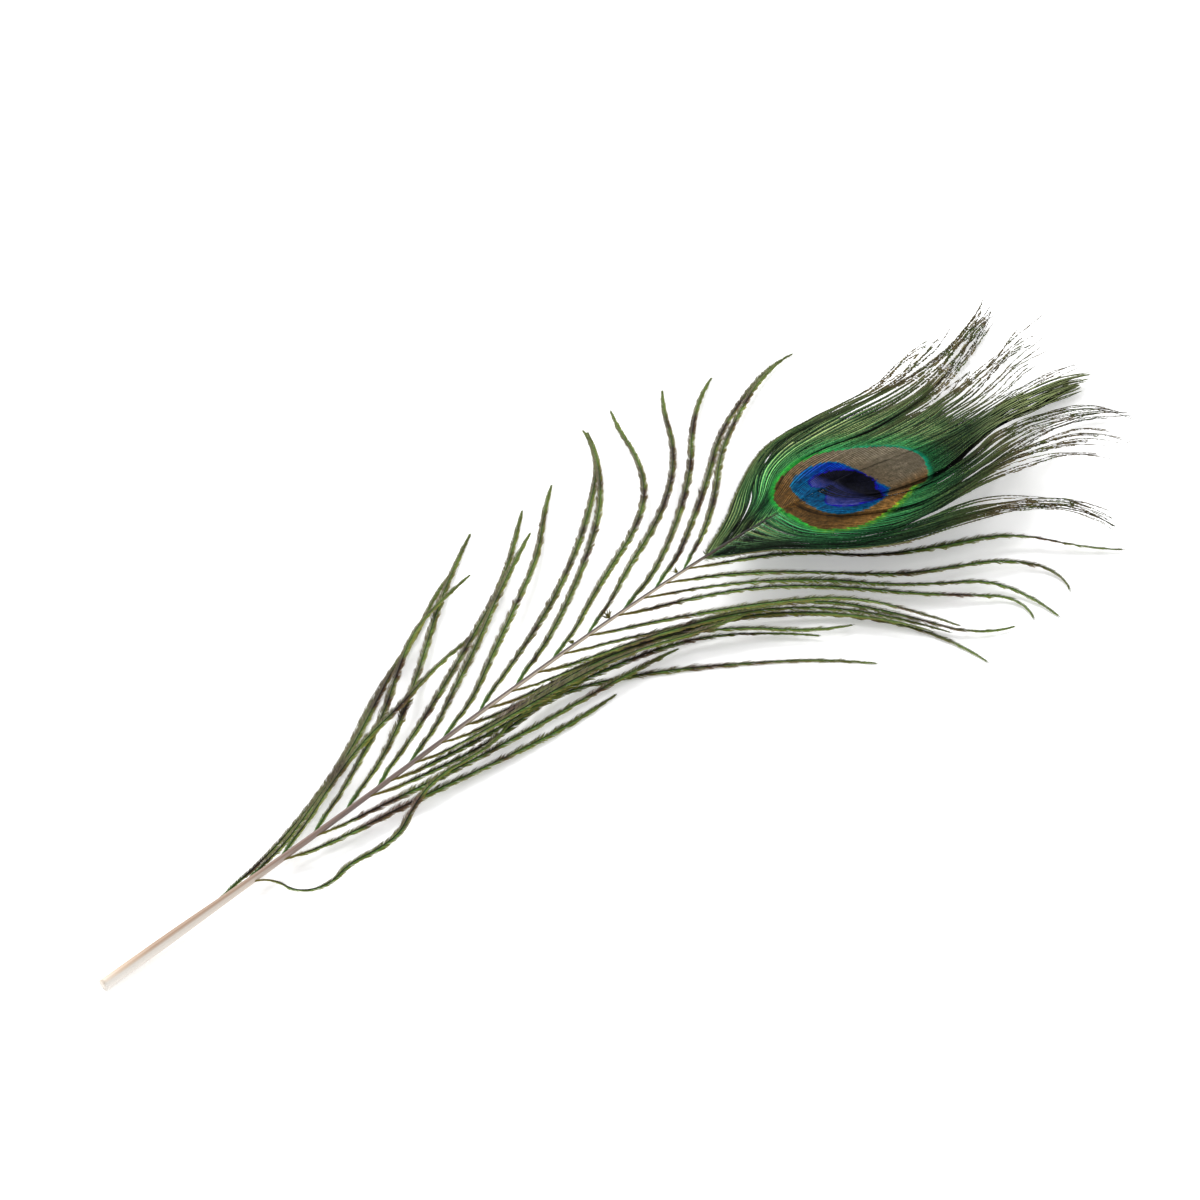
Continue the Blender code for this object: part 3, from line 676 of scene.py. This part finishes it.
BARB_COLOURS = {
    # Painted light in the greens: a highlight beside the ramus, brightest on the left row, and painted shade
    # towards the barbule tips in the gaps between barbs.
    "near green": ((0.1, "#030e08"), (0.22, "#082a16"), (0.36, "#3a9056"), (0.45, "#5cc474"),
                   (0.5, "#082010"), (0.55, "#a4e87c"), (0.65, "#5cbc68"), (0.76, "#1c5834"),
                   (0.85, "#06200f"), (1.0, "#020c06")),
    "far green": ((0.1, "#080d07"), (0.22, "#142214"), (0.36, "#3c6040"), (0.45, "#6c945e"),
                  (0.5, "#0c1008"), (0.56, "#ccd898"), (0.65, "#72924e"), (0.76, "#2c4226"),
                  (0.85, "#10180c"), (1.0, "#060a05")),
    # Painted light for the inside of the eye: a highlight along each barb's ridge and painted shade towards
    # the gaps.
    "shine": ((0.12, "#606060"), (0.22, "#c0c0c0"), (0.4, "#e8e8e8"), (0.5, "#a0a0a0"), (0.56, "#ffffff"),
              (0.78, "#e0e0e0"), (0.88, "#606060")),
    "brown fringe": ((0.0, "#6c5c48"), (0.3, "#706646"), (0.5, "#2c241a"), (0.7, "#686a40"),
                     (1.0, "#7a6a5c")),
    "green fringe": ((0.0, "#4e5432"), (0.3, "#60703c"), (0.5, "#262a1a"), (0.8, "#5c5e3c"),
                     (1.0, "#6a5e50")),
}
eye_keratin, shader = blank("eye_barbule_keratin", 0.5, Specular_IOR_Level=0.03)
EYE_COLUMNS = ("cross", "dry", "tone", "disc_edge", "blue_edge", "kidney_edge")
cross, dry, tone, disc, blue, kidney = [
    add(eye_keratin, "ShaderNodeAttribute", {"attribute_name": column}, out="Fac") for column in EYE_COLUMNS]
place = add(eye_keratin, "ShaderNodeTexCoord", out="Object")
eye_middle = CUT_END + (*DISC[0], EYE_LEVEL)
centred = add(eye_keratin, "ShaderNodeMapping", {"Location": [float(-c) for c in eye_middle],
                                                 "Scale": (1 / MM, 1 / MM, 1 / MM)}, Vector=place)
onward = add(eye_keratin, "ShaderNodeSeparateXYZ", out="X", in_0=centred)
leftward = add(eye_keratin, "ShaderNodeSeparateXYZ", out="Y", in_0=centred)
half = add(eye_keratin, "ShaderNodeMath", {"operation": "MULTIPLY_ADD", 1: 0.5, 2: 0.5}, in_0=cross)
grain = add(eye_keratin, "ShaderNodeTexNoise", {"Scale": 0.9, "Detail": 2}, Vector=centred)
slow = add(eye_keratin, "ShaderNodeTexNoise", {"Scale": 0.11, "Detail": 2}, Vector=centred)
shake = add(eye_keratin, "ShaderNodeMath", {"operation": "MULTIPLY_ADD", 1: 0.8, 2: -0.4}, in_0=grain)
disc, blue, kidney = [add(eye_keratin, "ShaderNodeMath", {"operation": "ADD"}, in_0=edge, in_1=shake)
                      for edge in (disc, blue, kidney)]
tint = {name: add(eye_keratin, "ShaderNodeValToRGB", stops=stops, in_0=read)
        for read, colours in ((grain, GRAIN_COLOURS), (half, BARB_COLOURS))
        for name, stops in colours.items()}
green = laid(eye_keratin, tint["near green"], tint["far green"], disc, 2.5, 9)
rim = laid(eye_keratin, tint["gold rim"], tint["green rim"], leftward, -10, -2)
rim = laid(eye_keratin, rim, tint["sea rim"], onward, 8, 18)
bronze = laid(eye_keratin, tint["bronze"], tint["pale bronze"], onward, -8, 14)
# Painted light: on the disc's right side the bronze is painted brighter, to lift the shade that the cleft and
# the barbules facing away from the lamp take there.
bronze = laid(eye_keratin, bronze, tint["bright bronze"], leftward, -7, -12)
blues = laid(eye_keratin, tint["sea blue"], tint["deep blue"], onward, -5, 4)
blues = laid(eye_keratin, blues, tint["blue edge"], blue, -0.9, -0.2)
blues = laid(eye_keratin, blues, tint["violet"], kidney, 0.7, 0.3)
dark = laid(eye_keratin, tint["violet kidney"], tint["black kidney"], onward, -4, 0)
inside = laid(eye_keratin, bronze, blues, blue, 0.1, -0.1)
inside = laid(eye_keratin, inside, dark, kidney, 0.1, -0.1)
# The inside of the eye takes the painted ridge highlights and gap shade of the shine stops.
inside = add(eye_keratin, "ShaderNodeVectorMath", {"operation": "MULTIPLY"}, in_0=inside, in_1=tint["shine"])
eye = laid(eye_keratin, green, rim, disc, 1.5, 0.4)
eye = laid(eye_keratin, eye, inside, disc, 0.1, -0.1)
fringe = laid(eye_keratin, tint["brown fringe"], tint["green fringe"], slow, 0.45, 0.6)
whole = laid(eye_keratin, eye, fringe, dry, 0, 1)
shade = add(eye_keratin, "ShaderNodeMapRange", {"From Min": -0.3, "To Max": 1.6}, Value=tone)
toned = add(eye_keratin, "ShaderNodeVectorMath", {"operation": "SCALE"}, in_0=whole, Scale=shade)
eye_keratin.node_tree.links.new(shader.inputs["Base Color"], toned)

# Each barb dries from a place of its own, has a tone of its own with painted shade where it is sunk, and
# reads its colours a little before or past its place, so that the areas' edges step from barb to barb.
for name, lift, parted, dry_from, fringe_length, groups in EYE_LOCKS:
    patches = []
    lanes = sum(group[0] for group in groups) * 3
    lane = 0
    for count, depth, *ends in groups:
        ways = [np.linspace(ends[k], ends[k + 1], count) for k in (0, 2, 4)]
        steps = [(way[-1] - way[0]) / (count - 1) for way in ways[:2]]
        for root, middle, end in zip(*ways):
            barb = eye_barb(root, middle, end, parted, lift, depth, name == "lock_tip")
            barb.step = barb.pitch * np.interp(barb.pace, (0, 0.42), steps)
            barb.dryness = np.clip((barb.pace - dry_from + 0.03 * rng.uniform(-1, 1)) / 0.25, 0, 1)
            # A random tone of the barb's own, with painted shade: the deeper it is sunk, the darker.
            barb.own = rng.uniform(-0.14, 0.42) - 0.8 * barb.sunk
            barb.jitter = rng.uniform(-0.25, 0.25)
            # Painted highlight: the ramus of the tuft's loose strands reads the bright stops beside the ramus
            # and is made lighter.
            lit = barb.loose * barb.tuft
            radii = np.interp(barb.pace[::3], (0, 0.4, 1), EYE_RAMUS_RADIUS)
            values = np.stack((0.16 * lit, barb.dryness, 0.3 + 0.3 * lit, *barb.edges), axis=1)[::3]
            strip = (lane / lanes, (lane + 0.8) / lanes)
            patches.append(tube(barb.path[::3], radii, EYE_RAMUS_SIDES, strip, values))
            for row, place_in in ((LEFT, 1), (RIGHT, 2)):
                strip = ((lane + place_in + 0.1) / lanes, (lane + place_in + 0.9) / lanes)
                patches.append(web(barb, row, fringe_length, strip))
            lane += 3
    put(f"vane_{name}", patches, EYE_COLUMNS, eye_keratin, "eye_vane", name)

# ----------------------------------------------------------------------------------------------------------
# Three wisps of down still cling to the left of the shaft. Each is a few soft barbs, one to three
# millimetres long, that spring from one place and curl apart, with barbules like fluff.
# ----------------------------------------------------------------------------------------------------------
# Each wisp: its station, the length of its longest barb, and its count of barbs.
DOWN_WISPS = ((131.5, 1.5, 6), (142.8, 2.8, 8), (164, 1.8, 6))
DOWN_SKIN = (0, 0.85, 0.35)
DOWN_STEPS = 16
DOWN_RADIUS = (0.05, 0.02)
DOWN_SIDES = 4
FLUFF_SPACING = 0.06
FLUFF_WIDTHS = (0.09, 0.05)


def wisp(station, reach, count):
    """The patches of a wisp of down. Each barb starts on the shaft's skin with a drawn heading and rise,
    which turn evenly by a drawn amount along it, and its place is the sum of its steps in those
    directions."""
    turn = np.linspace(0, 1, DOWN_STEPS)
    skin = np.array((station, along(SHAFT_BOW, station), along(SHAFT_HEIGHT, station)))
    skin = skin + np.array(DOWN_SKIN) * along(SHAFT_RADIUS, station)
    patches = []
    for k in range(count):
        heading = np.radians(rng.uniform(40, 120) + rng.uniform(-70, 70) * turn)
        rise = np.radians(rng.uniform(0, 60) + rng.uniform(-40, 20) * turn)
        length = reach * rng.uniform(0.6, 1)
        level = np.cos(rise)
        ways = np.stack((np.cos(heading) * level, np.sin(heading) * level, np.sin(rise)), axis=1)
        path = skin + (np.cumsum(ways, axis=0) - ways[0]) * length / (DOWN_STEPS - 1)
        values = np.stack((0 * turn, 0 * turn, 0.5 + 0 * turn), axis=1)
        radii = np.linspace(*DOWN_RADIUS, DOWN_STEPS)
        patches.append(tube(path, radii, DOWN_SIDES, (k / count, (k + 0.3) / count), values))
        for row, place_in in ((LEFT, 0.34), (RIGHT, 0.67)):
            s = np.arange(0.1, length - 0.05, FLUFF_SPACING)
            size = rng.uniform(0.3, 0.55, len(s)) * (1.1 - s / length)
            values = np.stack((0 * s, 0 * s, rng.uniform(0.2, 0.8, len(s))), axis=1)
            lean = np.radians(rng.uniform(30, 60, len(s)))
            tilt = np.radians(rng.uniform(-40, 40, len(s)))
            strip = ((k + place_in) / count, (k + place_in + 0.3) / count)
            patches.append(barbules(path, s, row, size, lean, tilt, FLUFF_WIDTHS, strip, values))
    return patches


# Down keratin is soft and matt, olive where it is thick and brown at its tips.
down_keratin = plume_material(
    "down_keratin",
    lit=((0.0, "#8c7c40"), (0.3, "#6c7030"), (0.5, "#3c4a1c"), (0.7, "#8a8a3c"), (1.0, "#7c6a44")),
    dull=((0.0, "#7c6644"), (0.3, "#6c5a36"), (0.5, "#3c3020"), (0.7, "#7a6c3c"), (1.0, "#7c6648")),
    root="#5a5c2c")
for number, (station, reach, count) in enumerate(DOWN_WISPS, 1):
    put(f"down_wisp_{number}", wisp(station, reach, count), ("cross", "reach", "tone"), down_keratin,
        "loose_barbs", "shaft")

# ----------------------------------------------------------------------------------------------------------
# The table is plain and white. A wide soft lamp stands on the feather's left, and the room's own light is
# even. The camera looks down across the feather with a long lens.
# ----------------------------------------------------------------------------------------------------------
TABLE_HALF = 3
LAMP_WAY = (-0.15, -0.75, -0.8)
CAMERA_AIM = (153.64, 16.28, 0)
CAMERA_TURN, CAMERA_RISE = -45.87, 38
CAMERA_DISTANCE = 0.64

# Matt white board: it takes soft shadows and hardly darkens away from them.
white_table, shader = blank("matt_white_table", 0.9, Specular_IOR_Level=0.0, Emission_Color=(1, 1, 1, 1),
                            Emission_Strength=0.3, Base_Color=linear("#f5f5f5"))
floor_mesh = bpy.data.meshes.new("table")
floor_mesh.from_pydata([(x * TABLE_HALF, y * TABLE_HALF, 0) for x, y in ((-1, -1), (1, -1), (1, 1), (-1, 1))],
                       [], [(0, 1, 2, 3)])
floor_mesh.materials.append(white_table)
floor = bpy.data.objects.new("table", floor_mesh)
bpy.context.scene.collection.objects.link(floor)

world = bpy.data.worlds.new("even_room_light")
world.use_nodes = True
world.node_tree.nodes["Background"].inputs["Color"].default_value = (1, 1, 1, 1)
world.node_tree.nodes["Background"].inputs["Strength"].default_value = 0.85
bpy.context.scene.world = world

lamp_data = bpy.data.lights.new("wide_soft_lamp", "SUN")
lamp_data.angle = 0.5
lamp_data.energy = 2.3
lamp = bpy.data.objects.new("wide_soft_lamp", lamp_data)
lamp.rotation_euler = Vector(LAMP_WAY).to_track_quat("-Z", "Y").to_euler()
bpy.context.scene.collection.objects.link(lamp)

camera_data = bpy.data.cameras.new("camera")
camera_data.lens = 85
camera_data.sensor_width = 36
camera = bpy.data.objects.new("camera", camera_data)
aim = Vector(CAMERA_AIM) * MM + Vector(CUT_END * MM)
azimuth, elevation = np.radians((CAMERA_TURN, CAMERA_RISE))
back = Vector((np.sin(azimuth) * np.cos(elevation), -np.cos(azimuth) * np.cos(elevation), np.sin(elevation)))
camera.location = aim + back * CAMERA_DISTANCE
camera.rotation_euler = (-back).to_track_quat("-Z", "Y").to_euler()
bpy.context.scene.collection.objects.link(camera)
bpy.context.scene.camera = camera
bpy.context.scene.view_settings.view_transform = "Standard"
